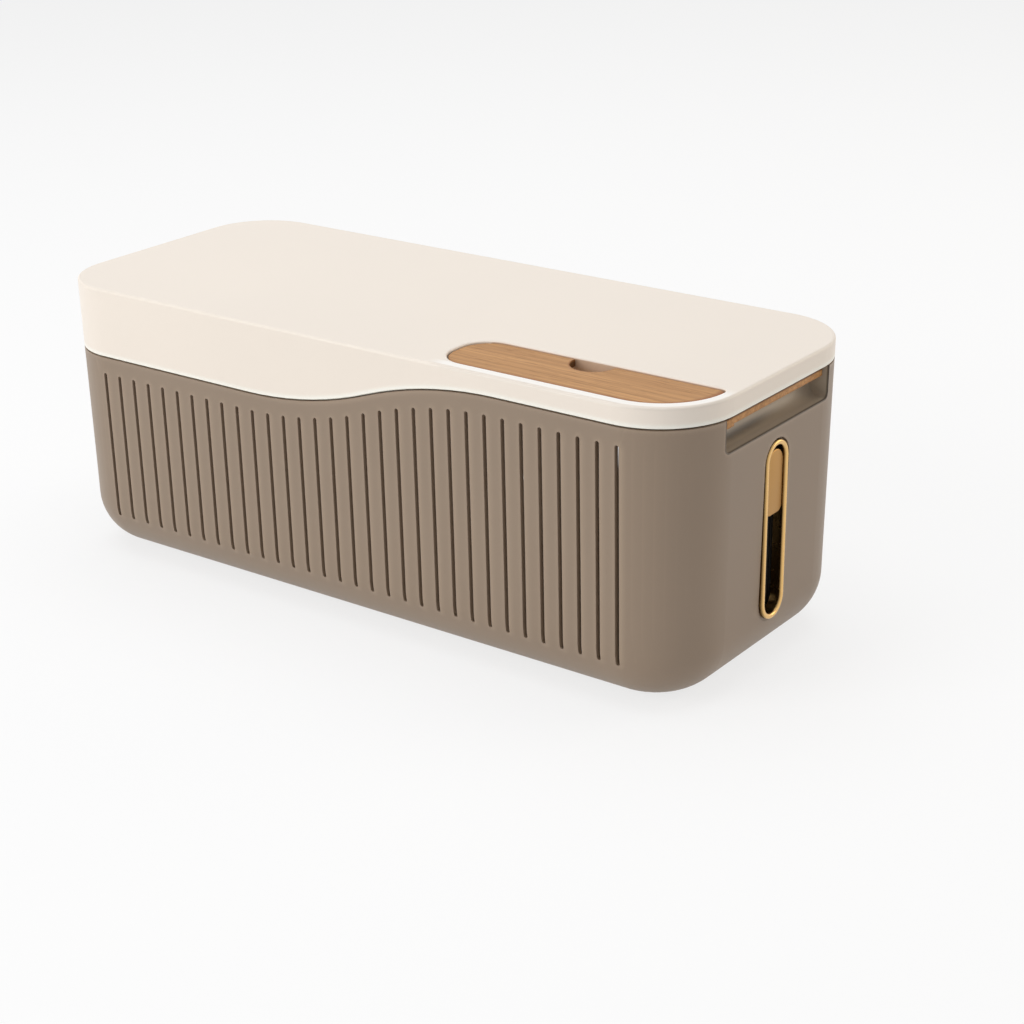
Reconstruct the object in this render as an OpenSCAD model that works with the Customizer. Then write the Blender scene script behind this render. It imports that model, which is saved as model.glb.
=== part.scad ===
// Cable management box: a drafted bin, a lift-off lid whose skirt ends in an S-shaped wave,
// a wood-look cover over two top ports, and one cable slot with a sliding shutter in each end wall.
// Frame: origin under the middle of the box, on the surface it stands on. +X points to the end
// with the grip recess, -Y to the long side with the top cover, +Z up. All sizes in millimetres.

/* [Overall] */
// Overall length, end wall to end wall
box_length = 340; // [320:1:380]
// Overall width across the long walls
box_width = 140; // [132:1:160]
// Overall height from the surface to the lid's flat top
box_height = 130; // [128:1:150]
// Plan radius of the two corners at the grip end
right_corner_r = 34; // [29:0.5:36]
// Plan radius of the two corners at the far end
left_corner_r = 31; // [29:0.5:44]
// Radius of the rolled bottom edge
bottom_fillet_r = 25; // [18:0.5:26]
// How far every wall leans in between the lid's top and the surface
wall_draft = 2; // [0.5:0.1:3]

/* [Walls] */
// Thickness of the bin's and the lid's side walls
wall_t = 2.4; // [2:0.1:3]
// Thickness of the bin's floor
floor_t = 2.6; // [2.2:0.1:3.2]
// Thickness of the lid's top plate
lid_top_t = 2.4; // [2:0.1:2.8]
// Radius of the lid's upper edge
lid_edge_r = 1.2; // [0.8:0.1:2.8]

/* [Parting wave] */
// Height of the lid's skirt at the far end, from its flat top to the parting line
skirt_far_h = 31.6; // [26:0.1:34]
// Height of the lid's skirt at the grip end
skirt_grip_h = 8.4; // [7:0.1:8.6]
// Where the wave starts to climb, from the box's middle
wave_start_x = -51; // [-60:1:-45]
// Where the wave has finished climbing
wave_end_x = 81; // [76:1:86]
// Height of the open joint that shows between bin and lid
shadow_gap = 0.8; // [0.5:0.05:1.2]
// Clearance between the lid's hidden land and the bin's rim
seat_gap = 0.3; // [0.2:0.05:0.4]
// How far the lid's hidden land lies inside the outer face
land_inset = 1.2; // [1:0.1:1.6]

/* [Vent slots] */
// Number of slots in each long wall
slot_count = 32; // [20:1:32]
// Distance between neighbouring slots
slot_pitch = 8.95; // [8:0.05:9]
// Width of one slot
slot_w = 1.8; // [1.2:0.1:2.4]
// Height of the slots' lower ends
slot_bottom_z = 20; // [18:0.5:40]
// Distance from the slots' upper ends to the parting line
slot_margin = 8.2; // [7:0.1:12]

/* [Lid tabs] */
// Length of one locating tab inside the lid
tab_len = 16; // [10:1:18]
// Thickness of a tab
tab_t = 1.6; // [1.2:0.1:2]
// How far a tab reaches below the parting line
tab_drop = 4.5; // [3:0.1:5]
// Clearance between a tab and the bin's inner face
tab_clearance = 0.35; // [0.25:0.05:0.6]

/* [Top cover] */
// Left end of the cover
cover_x0 = 47; // [40:0.5:50]
// Distance from the cover's right end to the box's end wall
cover_end_margin = 5.8; // [4.4:0.1:6.5]
// Distance from the cover's front edge to the box's long wall
cover_front_margin = 7; // [6.5:0.1:10]
// Width of the cover
cover_w = 31; // [28:0.5:33]
// Thickness of the cover
cover_t = 3; // [2.4:0.1:3.2]
// How far the cover's face lies below the lid's top
cover_drop = 0.7; // [0.3:0.1:1]
// Plan radius at the cover's left end
cover_end_r = 13; // [8:0.5:14]
// Plan radius at the cover's sharp back right corner
cover_tip_r = 3; // [1.5:0.5:6]
// Clearance around the cover in its pocket
cover_clearance = 0.6; // [0.4:0.05:0.8]
// Radius of the cover's upper edge
cover_edge_r = 0.5; // [0.2:0.1:0.8]
// Radius of the pocket's upper edge in the lid
pocket_edge_r = 0.8; // [0.3:0.1:1.2]
// Radius of the finger notch in the cover's back edge
notch_r = 9.7; // [7.5:0.1:9.9]
// How far the notch's centre lies in front of the cover's back edge
notch_inset = 1.2; // [1:0.1:3]
// Distance from the cover's left end to the notch's centre
notch_x = 56.5; // [54:0.5:62]

/* [Cover tray] */
// Thickness of the tray's plate
tray_t = 2; // [1.6:0.1:2.2]
// Width of the lid's collar around the pocket
collar_w = 2; // [1.6:0.1:2.2]
// How far the tray's rim laps under the collar
tray_lap = 0.8; // [0.6:0.1:1.2]
// Length of each cable port in the tray
port_len = 32; // [26:0.5:34]
// Width of each cable port
port_w = 16; // [12:0.5:17]
// Corner radius of the ports
port_r = 3; // [1:0.5:5]
// Distance from the notch's centre to each cable port
port_offset = 15; // [13:0.5:16]
// Depth of the finger well below the tray's top face
well_depth = 7; // [4:0.5:9]
// Radius of the finger well
well_r = 10.3; // [10:0.1:11]
// Wall thickness of the finger well
well_wall = 1.6; // [1.2:0.1:2]
// Width of the tray's screw ears
ear_w = 9; // [7.5:0.5:10]

/* [Grip recess] */
// Width of the recess in the end wall
recess_w = 81; // [70:1:86]
// How far the recess's sill lies below the lid's flat top
recess_drop = 23; // [22:0.5:25]
// Depth of the recess behind the end of the box
recess_depth = 10; // [8.5:0.5:12]
// Radius between the recess's sill and its back
recess_cove_r = 6; // [3:0.5:7]
// Corner radius of the recess's mouth
recess_corner_r = 2.5; // [2:0.5:6]
// Wall thickness around the recess
recess_wall = 2; // [1.6:0.1:2.4]
// Clearance between the strip's outer corners and the lid's hidden land
strip_gap = 0.2; // [0.1:0.05:1]
// Depth of the grip strip, along the box
strip_d = 5; // [4:0.1:5.4]
// Height of the grip strip
strip_h = 5; // [4:0.1:6.5]
// Height of the rebate along the strip's upper front edge
strip_rebate_h = 1.8; // [1:0.1:2.4]
// Depth of that rebate
strip_rebate_d = 2; // [1:0.1:2.2]
// Clearance between the strip's ends and the recess's sides
strip_end_gap = 1; // [0.6:0.1:2]
// Width of the rail that carries the strip
rail_w = 2.4; // [2:0.1:2.8]

/* [Cable slots] */
// Height of the bezels' lower ends
bezel_bottom_z = 23; // [22:0.5:24]
// Distance from the recess's sill down to the bezel at the grip end
bezel_sill_gap = 6; // [5.5:0.5:12]
// Distance from the parting line down to the bezel at the far end
bezel_joint_gap = 7.4; // [7.4:0.1:12]
// Width over the bezel's flange
bezel_w = 17.5; // [16:0.5:18.5]
// Width of the flange's visible rim
bezel_rim = 2.4; // [2.4:0.1:3.2]
// Wall thickness of the bezel's tube
tube_wall = 1.5; // [1.2:0.1:1.7]
// Clearance between the bezel's tube and its hole
bezel_clearance = 0.15; // [0.1:0.05:0.3]
// Width of the open groove around the bezel's flange
bezel_groove_w = 0.8; // [0.3:0.1:1.2]
// Thickness of the bezel's flange
flange_t = 1.8; // [1.4:0.1:2]
// Length of the bezel's tube behind the flange
tube_len = 3.3; // [3:0.1:3.6]

/* [Shutters] */
// Height of the shutter's face
shutter_h = 28; // [20:0.5:30]
// Clearance between the shutter and the bezel's opening
shutter_clearance = 0.3; // [0.2:0.05:0.5]
// Gap above the shutter when it is pushed up
shutter_top_gap = 1.8; // [1:0.1:2.5]
// How far the shutter's face lies behind the bezel's face
shutter_setback = 1.2; // [1:0.1:2.2]
// Clearance between the carrier and its channel, on every side
carrier_clearance = 0.2; // [0.15:0.05:0.3]
// Thickness of the carrier plate
carrier_t = 1.6; // [1.2:0.1:2]
// How far the carrier reaches past each side of the shutter
carrier_lap = 2; // [1.5:0.1:2.4]
// How far the carrier ends short of the shutter's lower edge
carrier_rise = 1; // [0.5:0.1:2]
// Radius of the two pegs that join shutter and carrier
peg_r = 1.5; // [1.2:0.1:2]
// Distance between the two pegs
peg_spacing = 10; // [8:0.5:12]
// Thickness of the guide's web
web_t = 1.8; // [1.4:0.1:2.2]
// Width of the guide's rails beside the channel
rail_side_w = 5.2; // [5:0.1:6]
// How far the guide reaches past the bezel's tube at each end
guide_margin = 2; // [1:0.1:2.4]

/* [Screws and feet] */
// Radius of the screws' threads
screw_r = 1.1; // [0.9:0.05:1.2]
// Radius of the screws' heads
screw_head_r = 2; // [1.7:0.1:2.2]
// Height of the screws' heads
screw_head_h = 1.3; // [1:0.1:1.6]
// How deep the screws bite into their bosses
screw_bite = 2.6; // [2:0.1:3]
// Radial clearance around a screw
screw_clearance = 0.05; // [0.03:0.01:0.1]
// Radius of the screw bosses
boss_r = 2.4; // [2.2:0.1:2.5]
// Radius of a rubber foot
foot_r = 7; // [5:0.5:9]
// Height of a rubber foot
foot_h = 2; // [1.8:0.1:2.2]
// How far the feet stand out of the floor
foot_proud = 1; // [0.8:0.1:1.2]
// Distance from the box's end walls to the feet
foot_margin_x = 46; // [40:1:60]
// Distance from the box's long walls to the feet
foot_margin_y = 37; // [36:1:45]

/* [Hidden] */

taupe = "#95897c";
cream = "#efe8dd";
oak = "#c39260";
gold = "#d6a655";
charcoal = "#33302d";
steel = "#b9bbbd";

// A hair of overlap that joins solids of one piece
weld = 0.2;
half_l = box_length / 2;
half_w = box_width / 2;
// Past every outer face, for cuts that run right through
beyond = 5;
arc_fn = 96;
wave_fn = 240;
bore_fn = 32;

// Inward lean of a wall at height z, to a hundredth, and how far the walls' faces then lie from the middle
lean_step = 0.01;
function lean(z) = round(wall_draft * (1 - z / box_height) / lean_step) * lean_step;
function end_x(z, inset = 0) = half_l - inset - lean(z);

floor_z = foot_proud;
inner_floor_z = floor_z + floor_t;
plate_z = box_height - lid_top_t;

// Two equal arcs, tangent to the flats and to each other, make the S of the wave
wave_low_z = box_height - skirt_far_h;
wave_high_z = box_height - skirt_grip_h;
wave_run = wave_end_x - wave_start_x;
wave_rise = wave_high_z - wave_low_z;
wave_r = (wave_run * wave_run + wave_rise * wave_rise) / (4 * wave_rise);
wave_mid_x = (wave_start_x + wave_end_x) / 2;
function wave_z(x) =
    x <= wave_start_x ? wave_low_z
    : x >= wave_end_x ? wave_high_z
    : x < wave_mid_x ? wave_low_z + wave_r - sqrt(wave_r * wave_r - pow(x - wave_start_x, 2))
    : wave_high_z - wave_r + sqrt(wave_r * wave_r - pow(wave_end_x - x, 2));

// Top cover, its pocket and the tray under it
cover_x1 = half_l - cover_end_margin;
cover_y0 = -half_w + cover_front_margin;
cover_y1 = cover_y0 + cover_w;
cover_nose_r = cover_w - cover_tip_r;
// Corners of the cover's outline, anticlockwise: centre, start angle and radius
cover_corners = [[cover_x0 + cover_end_r, cover_y0 + cover_end_r, 180, cover_end_r],
                 [cover_x1 - cover_nose_r, cover_y0 + cover_nose_r, 270, cover_nose_r],
                 [cover_x1 - cover_tip_r, cover_y1 - cover_tip_r, 0, cover_tip_r],
                 [cover_x0 + cover_end_r, cover_y1 - cover_end_r, 90, cover_end_r]];
cover_top_z = box_height - cover_drop;
cover_bottom_z = cover_top_z - cover_t;
tray_top_z = cover_bottom_z - seat_gap;
tray_bottom_z = tray_top_z - tray_t;
notch_cx = cover_x0 + notch_x;
port_y = (cover_y0 + cover_y1) / 2;
port_xs = [notch_cx - port_offset - port_len, notch_cx + port_offset];
ear_xs = [cover_x0 + cover_end_r, notch_cx, cover_x1 - 2 * cover_end_r];
ear_y = cover_y1 + cover_clearance + collar_w + ear_w / 2;
well_back_y = cover_y1 + cover_clearance;

// Grip recess and the strip above it
recess_sill_z = box_height - recess_drop;
recess_back_x = half_l - recess_depth;
strip_top_z = wave_high_z - seat_gap;
strip_bottom_z = strip_top_z - strip_h;
strip_half = recess_w / 2 - strip_end_gap;
// The land's inner face lies nearest the strip where the strip's ends meet the round corners
strip_past_flat = max(0, strip_half - half_w + right_corner_r);
land_reach = sqrt(pow(right_corner_r - wall_t, 2) - pow(strip_past_flat, 2));
land_x = half_l - right_corner_r + land_reach - lean(strip_top_z);
strip_x1 = floor((land_x - strip_gap) / lean_step) * lean_step;
strip_x0 = strip_x1 - strip_d;
rail_x0 = strip_x0 + (strip_d - strip_rebate_d - rail_w) / 2;
rail_y0 = ear_y - ear_w / 2;

// Cable slots: the bezels' lengths, then places measured outwards from the middle along X
bezel_right_len = recess_sill_z - bezel_sill_gap - bezel_bottom_z;
bezel_left_len = wave_low_z - bezel_joint_gap - bezel_bottom_z;
seat_x = half_l - flange_t;
tube_end_x = seat_x - tube_len;
tube_w = bezel_w - 2 * bezel_rim + 2 * tube_wall;
opening_w = bezel_w - 2 * bezel_rim;
shutter_w = opening_w - 2 * shutter_clearance;
shutter_face_x = half_l - shutter_setback;
carrier_x1 = tube_end_x - carrier_clearance;
carrier_x0 = carrier_x1 - carrier_t;
channel_x0 = carrier_x0 - carrier_clearance;
guide_x0 = channel_x0 - web_t;
carrier_w = shutter_w + 2 * carrier_lap;
channel_w = carrier_w + 2 * carrier_clearance;
guide_w = channel_w + 2 * rail_side_w;
guide_hole_y = (channel_w + guide_w) / 4;
guide_hole_inset = guide_margin + boss_r * 2;

foot_x = half_l - foot_margin_x;
foot_y = half_w - foot_margin_y;

// ---- Shared shapes ----

// Upright section of the box from its middle (x = 0) out to a wall that is r away at the top:
// a rolled lower edge, a leaning face and a rounded upper edge
module wall_section(r, fillet, edge, z0, z1) {
    low_z = z0 + fillet;
    high_z = z1 - edge;
    low_r = r - lean(low_z);
    high_r = r - lean(high_z);
    union() {
        polygon([[0, low_z], [low_r, low_z], [high_r, high_z], [0, high_z]]);
        translate([0, z0])
            square([low_r - fillet, fillet + weld]);
        intersection() {
            translate([low_r - fillet, low_z])
                circle(fillet, $fn = arc_fn);
            translate([0, z0])
                square([low_r, fillet]);
        }
        if (edge > 0) {
            translate([0, high_z - weld])
                square([high_r - edge, edge + weld]);
            intersection() {
                translate([high_r - edge, high_z])
                    circle(edge, $fn = bore_fn);
                translate([0, high_z])
                    square([high_r, edge]);
            }
        }
    }
}

// The box's whole form, pulled in by inset, from z0 up to z1
module box_form(inset, z0, z1, edge = 0) {
    fillet = bottom_fillet_r - inset;
    left_x = -(half_l - left_corner_r);
    right_x = half_l - right_corner_r;
    for (corner = [[right_x, half_w - right_corner_r, 0, right_corner_r],
                   [left_x, half_w - left_corner_r, 90, left_corner_r],
                   [left_x, left_corner_r - half_w, 180, left_corner_r],
                   [right_x, right_corner_r - half_w, 270, right_corner_r]])
        translate([corner[0], corner[1], 0])
            rotate([0, 0, corner[2]])
                rotate_extrude(angle = 90, $fn = arc_fn)
                    wall_section(corner[3] - inset, fillet, edge, z0, z1);
    for (side = [0, 1])
        mirror([0, side, 0])
            translate([left_x, 0, 0])
                rotate([90, 0, 90])
                    linear_extrude(right_x - left_x)
                        wall_section(half_w - inset, fillet, edge, z0, z1);
    for (end = [[0, right_corner_r], [1, left_corner_r]])
        mirror([end[0], 0, 0])
            translate([0, half_w - end[1], 0])
                rotate([90, 0, 0])
                    linear_extrude(2 * (half_w - end[1]))
                        wall_section(half_l - inset, fillet, edge, z0, z1);
}

// Everything above the wave, moved up by shift
module above_wave(shift) {
    top = box_height + beyond;
    translate([0, half_w + beyond, shift])
        rotate([90, 0, 0])
            linear_extrude(box_width + 2 * beyond)
                union() {
                    translate([-half_l - beyond, wave_low_z])
                        square([wave_start_x + half_l + beyond, top - wave_low_z]);
                    intersection() {
                        translate([wave_start_x, wave_low_z + wave_r])
                            circle(wave_r, $fn = wave_fn);
                        translate([wave_start_x, wave_low_z])
                            square([wave_run / 2, top - wave_low_z]);
                    }
                    difference() {
                        translate([wave_mid_x, wave_low_z])
                            square([wave_run / 2, top - wave_low_z]);
                        translate([wave_end_x, wave_high_z - wave_r])
                            circle(wave_r, $fn = wave_fn);
                    }
                    translate([wave_end_x, wave_high_z])
                        square([half_l + beyond - wave_end_x, top - wave_high_z]);
                }
}

// Upright pill outline around the middle of a bezel
module pill(w, len, bezel_len) {
    r = w / 2;
    translate([0, bezel_bottom_z + bezel_len / 2])
        union() {
            square([w, len - w], center = true);
            for (end = [-1, 1])
                translate([0, end * (len / 2 - r)])
                    circle(r, $fn = arc_fn);
        }
}

// A flat shape in the end wall's plane, made solid from x0 to x1
module along_x(x0, x1) {
    translate([x0, 0, 0])
        rotate([90, 0, 90])
            linear_extrude(x1 - x0)
                children();
}

// A round bar along X
module bar_x(r, x0, x1, y, z) {
    translate([x0, y, z])
        rotate([0, 90, 0])
            cylinder(r = r, h = x1 - x0, $fn = bore_fn);
}

// Quarter disc of radius r that fills the corner at [x, y], towards the signs sx and sy
module corner_disc(x, y, sx, sy, r) {
    intersection() {
        translate([x - sx * r, y - sy * r])
            circle(r, $fn = arc_fn);
        translate([min(x, x - sx * r), min(y, y - sy * r)])
            square([r, r]);
    }
}

// Plan outline of the top cover, grown by g on every side
module cover_plan(g) {
    x0 = cover_x0 - g;
    x1 = cover_x1 + g;
    y0 = cover_y0 - g;
    y1 = cover_y1 + g;
    end_r = cover_end_r + g;
    tip_r = cover_tip_r + g;
    nose_r = cover_nose_r + g;
    union() {
        polygon([[x0 + end_r, y0], [x1 - nose_r, y0], [x1, y0 + nose_r], [x1 - tip_r, y1],
                 [x0 + end_r, y1], [x0, y1 - end_r], [x0, y0 + end_r]]);
        corner_disc(x0, y0, -1, -1, end_r);
        corner_disc(x0, y1, -1, 1, end_r);
        corner_disc(x1, y1, 1, 1, tip_r);
        corner_disc(x1, y0, 1, -1, nose_r);
    }
}

// Sweeps a flat profile around the cover's outline, grown by g: its X points outwards, its Y up
module around_cover(g) {
    for (i = [0 : 3]) {
        corner = cover_corners[i];
        next = cover_corners[(i + 1) % 4];
        run = (corner[0] - next[0]) * cos(corner[2]) + (corner[1] - next[1]) * sin(corner[2]);
        translate([corner[0], corner[1], 0]) {
            rotate([0, 0, corner[2]])
                rotate_extrude(angle = 90, $fn = arc_fn)
                    translate([corner[3] + g, 0])
                        children();
            if (run > 0)
                rotate([0, 0, corner[2] + 90])
                    translate([0, run, 0])
                        rotate([90, 0, 0])
                            linear_extrude(run)
                                translate([corner[3] + g, 0])
                                    children();
        }
    }
}

// Flat profile that rounds off an upper edge at height z; side is 1 where the solid lies outside
// the outline and -1 where it lies inside
module edge_cut(side, z, r) {
    difference() {
        translate([side > 0 ? -weld : -r, z - r])
            square([r + weld, r + weld]);
        translate([side * r, z - r])
            circle(r, $fn = bore_fn);
    }
}

// Rectangle with rounded corners, from its lower left corner
module rounded_plan(x0, y0, w, d, r) {
    union() {
        translate([x0 + r, y0])
            square([w - 2 * r, d]);
        translate([x0, y0 + r])
            square([w, d - 2 * r]);
        for (x = [x0 + r, x0 + w - r], y = [y0 + r, y0 + d - r])
            translate([x, y])
                circle(r, $fn = bore_fn);
    }
}

module slab(z0, z1) {
    translate([0, 0, z0])
        linear_extrude(z1 - z0)
            children();
}

// ---- Bin ----

// The recess's hollow, grown by g: rounded at the mouth, coved at the back
module recess_form(g) {
    r = recess_corner_r + g;
    cove = recess_cove_r + g;
    sill = recess_sill_z - g;
    half = recess_w / 2 + g;
    back = recess_back_x - g;
    out = half_l + beyond;
    top = box_height;
    intersection() {
        along_x(back, out)
            union() {
                translate([-half, sill + r])
                    square([2 * half, top - sill - r]);
                translate([-half + r, sill])
                    square([2 * (half - r), r + weld]);
                for (side = [-1, 1])
                    translate([side * (half - r), sill + r])
                        circle(r, $fn = arc_fn);
            }
        translate([0, half, 0])
            rotate([90, 0, 0])
                linear_extrude(2 * half)
                    union() {
                        translate([back, sill + cove])
                            square([out - back, top - sill - cove]);
                        translate([back + cove, sill])
                            square([out - back - cove, cove + weld]);
                        translate([back + cove, sill + cove])
                            circle(cove, $fn = arc_fn);
                    }
    }
}

module vent_slot(x) {
    r = slot_w / 2;
    top = wave_z(x) - slot_margin - r;
    bottom = slot_bottom_z + r;
    cut = wall_t + wall_draft + beyond;
    translate([x, -half_w + cut, 0])
        rotate([90, 0, 0])
            linear_extrude(cut + beyond)
                union() {
                    translate([-r, bottom])
                        square([slot_w, top - bottom]);
                    for (z = [bottom, top])
                        translate([0, z])
                            circle(r, $fn = bore_fn);
                }
}

module vent_slots() {
    for (side = [0, 1], i = [0 : slot_count - 1])
        mirror([0, side, 0])
            vent_slot((i - (slot_count - 1) / 2) * slot_pitch);
}

// Places of the four screws that hold a guide, as [y, z]
function guide_screw_places(len) = [
    for (y = [-guide_hole_y, guide_hole_y],
         z = [bezel_bottom_z + guide_hole_inset, bezel_bottom_z + len - guide_hole_inset]) [y, z]];

module guide_bosses(len) {
    for (p = guide_screw_places(len))
        bar_x(boss_r, tube_end_x, end_x(p[1], wall_t / 2), p[0], p[1]);
}

module cable_slot_cuts(len) {
    along_x(tube_end_x - beyond, seat_x)
        pill(tube_w + 2 * bezel_clearance, len - bezel_w + tube_w + 2 * bezel_clearance, len);
    along_x(seat_x - bezel_clearance, half_l + beyond)
        pill(bezel_w + 2 * bezel_groove_w, len + 2 * bezel_groove_w, len);
    for (p = guide_screw_places(len))
        bar_x(screw_r + screw_clearance, tube_end_x - weld,
              tube_end_x + screw_bite + screw_clearance, p[0], p[1]);
}

module feet_places() {
    for (x = [-foot_x, foot_x], y = [-foot_y, foot_y])
        translate([x, y, 0])
            children();
}

module bin() {
    color(taupe)
        difference() {
            union() {
                difference() {
                    box_form(0, floor_z, box_height);
                    box_form(wall_t, inner_floor_z, box_height + beyond);
                }
                intersection() {
                    recess_form(recess_wall);
                    box_form(wall_t / 2, floor_z, box_height);
                }
                guide_bosses(bezel_right_len);
                mirror([1, 0, 0])
                    guide_bosses(bezel_left_len);
            }
            above_wave(-shadow_gap);
            recess_form(0);
            vent_slots();
            cable_slot_cuts(bezel_right_len);
            mirror([1, 0, 0])
                cable_slot_cuts(bezel_left_len);
            feet_places()
                translate([0, 0, -beyond])
                    cylinder(r = foot_r + screw_clearance, h = beyond + foot_h, $fn = arc_fn);
        }
}

module foot(sx, sy) {
    color(charcoal)
        translate([sx * foot_x, sy * foot_y, 0])
            union() {
                cylinder(r1 = foot_r - foot_proud / 2, r2 = foot_r, h = foot_proud / 2, $fn = arc_fn);
                translate([0, 0, foot_proud / 2])
                    cylinder(r = foot_r, h = foot_h - foot_proud / 2, $fn = arc_fn);
            }
}

// ---- Cable slots ----

module slot_bezel(len) {
    color(gold)
        difference() {
            union() {
                along_x(seat_x, half_l)
                    pill(bezel_w, len, len);
                along_x(tube_end_x, seat_x + weld)
                    pill(tube_w, len - bezel_w + tube_w, len);
            }
            along_x(tube_end_x - beyond, half_l + beyond)
                pill(opening_w, len - bezel_w + opening_w, len);
        }
}

// Height of the shutter's round top when it is pushed up
function shutter_top(len) = bezel_bottom_z + len - bezel_rim - shutter_top_gap;
function peg_places(len) = [
    for (side = [-1, 1]) shutter_top(len) - (shutter_h + carrier_rise) / 2 + side * peg_spacing / 2];

module shutter(len) {
    r = shutter_w / 2;
    top = shutter_top(len);
    color(gold)
        union() {
            along_x(carrier_x1, shutter_face_x)
                union() {
                    translate([-r, top - shutter_h])
                        square([shutter_w, shutter_h - r]);
                    translate([0, top - r])
                        circle(r, $fn = arc_fn);
                }
            for (z = peg_places(len))
                bar_x(peg_r, carrier_x0, carrier_x1 + weld, 0, z);
        }
}

module shutter_carrier(len) {
    top = shutter_top(len) - shutter_w / 2;
    bottom = shutter_top(len) - shutter_h + carrier_rise;
    color(charcoal)
        difference() {
            along_x(carrier_x0, carrier_x1)
                translate([-carrier_w / 2, bottom])
                    square([carrier_w, top - bottom]);
            for (z = peg_places(len))
                bar_x(peg_r + screw_clearance, carrier_x0 - weld, carrier_x1 + weld, 0, z);
        }
}

module shutter_guide(len) {
    low = bezel_bottom_z + bezel_rim - tube_wall - guide_margin;
    high = bezel_bottom_z + len - bezel_rim + tube_wall + guide_margin;
    color(charcoal)
        difference() {
            along_x(guide_x0, tube_end_x)
                rounded_plan(-guide_w / 2, low, guide_w, high - low, boss_r);
            along_x(channel_x0, tube_end_x + weld)
                translate([-channel_w / 2, low + guide_margin])
                    square([channel_w, high - low - 2 * guide_margin]);
            along_x(guide_x0 - weld, tube_end_x)
                pill(opening_w, len - bezel_w + opening_w, len);
            for (p = guide_screw_places(len))
                bar_x(screw_r + screw_clearance, guide_x0 - weld, tube_end_x + weld, p[0], p[1]);
        }
}

// A slotted pan-head screw along +Z: its head lies below z = 0 and its thread reaches up to z = len
module screw(len) {
    color(steel)
        difference() {
            union() {
                translate([0, 0, -screw_head_h])
                    cylinder(r = screw_head_r, h = screw_head_h, $fn = bore_fn);
                cylinder(r = screw_r, h = len, $fn = bore_fn);
            }
            translate([0, 0, -screw_head_h])
                cube([2 * screw_head_r + weld, screw_r / 2, screw_head_h], center = true);
        }
}

module guide_screws(len) {
    for (p = guide_screw_places(len))
        translate([guide_x0, p[0], p[1]])
            rotate([0, 90, 0])
                screw(tube_end_x - guide_x0 + screw_bite);
}

// ---- Lid ----

// One locating tab on the inside of a wall that lies in the +Y direction, reach being the distance
// from the middle to the outer face at the top, and joint_z the parting line's height there
module lid_tab(reach, joint_z) {
    low = joint_z - tab_drop;
    rim = joint_z - seat_gap;
    face = reach - wall_t;
    inner = face - lean(low) - tab_clearance - tab_t;
    rotate([90, 0, 90])
        linear_extrude(tab_len, center = true)
            polygon([[inner, low],
                     [face - lean(low) - tab_clearance, low],
                     [face - lean(rim) - tab_clearance, rim],
                     [face - lean(joint_z) + wall_t / 3, joint_z + wall_t / 2],
                     [face - lean(plate_z) + wall_t / 3, plate_z + weld],
                     [inner, plate_z + weld]]);
}

// Tabs stand on the flats of the wave, clear of the tray in front and of the recess at the end
module lid_tabs() {
    low_xs = [wave_start_x - tab_len, wave_start_x - 4 * tab_len];
    high_xs = [wave_end_x + tab_len / 2, wave_end_x + 2.5 * tab_len];
    for (x = low_xs, side = [0, 1])
        mirror([0, side, 0])
            translate([x, 0, 0])
                lid_tab(half_w, wave_low_z);
    for (x = high_xs)
        translate([x, 0, 0])
            lid_tab(half_w, wave_high_z);
    for (y = [-tab_len, tab_len])
        translate([0, y, 0])
            rotate([0, 0, 90])
                lid_tab(half_l, wave_low_z);
}

module lid() {
    color(cream)
        difference() {
            union() {
                difference() {
                    union() {
                        intersection() {
                            box_form(0, floor_z, box_height, lid_edge_r);
                            above_wave(0);
                        }
                        intersection() {
                            box_form(land_inset, floor_z, plate_z + weld);
                            above_wave(seat_gap - shadow_gap);
                        }
                    }
                    box_form(wall_t, floor_z + wall_t, plate_z);
                }
                lid_tabs();
                slab(tray_top_z, plate_z + weld)
                    cover_plan(cover_clearance + collar_w);
                for (x = ear_xs)
                    translate([x, ear_y, tray_top_z])
                        cylinder(r = boss_r, h = plate_z - tray_top_z + weld, $fn = bore_fn);
                translate([rail_x0, rail_y0, strip_top_z])
                    cube([rail_w, strip_half - rail_y0, plate_z - strip_top_z + weld]);
            }
            slab(tray_top_z - weld, box_height + beyond)
                cover_plan(cover_clearance);
            around_cover(cover_clearance)
                edge_cut(1, box_height, pocket_edge_r);
            for (x = ear_xs)
                translate([x, ear_y, tray_top_z - weld])
                    cylinder(r = screw_r + screw_clearance, h = screw_bite + weld, $fn = bore_fn);
        }
}

// Half disc in plan, flat at the well's back
module well_plan(r, back) {
    intersection() {
        translate([notch_cx, well_back_y - notch_inset])
            circle(r, $fn = arc_fn);
        translate([notch_cx - r, well_back_y - notch_inset - r])
            square([2 * r, r + notch_inset + back]);
    }
}

module cover_tray() {
    bottom = tray_top_z - well_depth;
    color(cream)
        difference() {
            union() {
                slab(tray_bottom_z, tray_top_z)
                    union() {
                        cover_plan(cover_clearance + tray_lap);
                        for (x = ear_xs)
                            rounded_plan(x - ear_w / 2, cover_y1 - ear_w / 2, ear_w,
                                         ear_y - cover_y1 + ear_w, boss_r);
                    }
                slab(bottom - well_wall, tray_top_z)
                    well_plan(well_r + well_wall, well_wall);
            }
            slab(bottom, tray_top_z + weld)
                well_plan(well_r, 0);
            slab(tray_bottom_z - weld, tray_top_z + weld)
                for (x = port_xs)
                    rounded_plan(x, port_y - port_w / 2, port_len, port_w, port_r);
            for (x = ear_xs)
                translate([x, ear_y, tray_bottom_z - weld])
                    cylinder(r = screw_r + screw_clearance, h = tray_t + 2 * weld, $fn = bore_fn);
        }
}

module tray_screws() {
    for (x = ear_xs)
        translate([x, ear_y, tray_bottom_z])
            screw(tray_t + screw_bite - screw_clearance);
}

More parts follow.
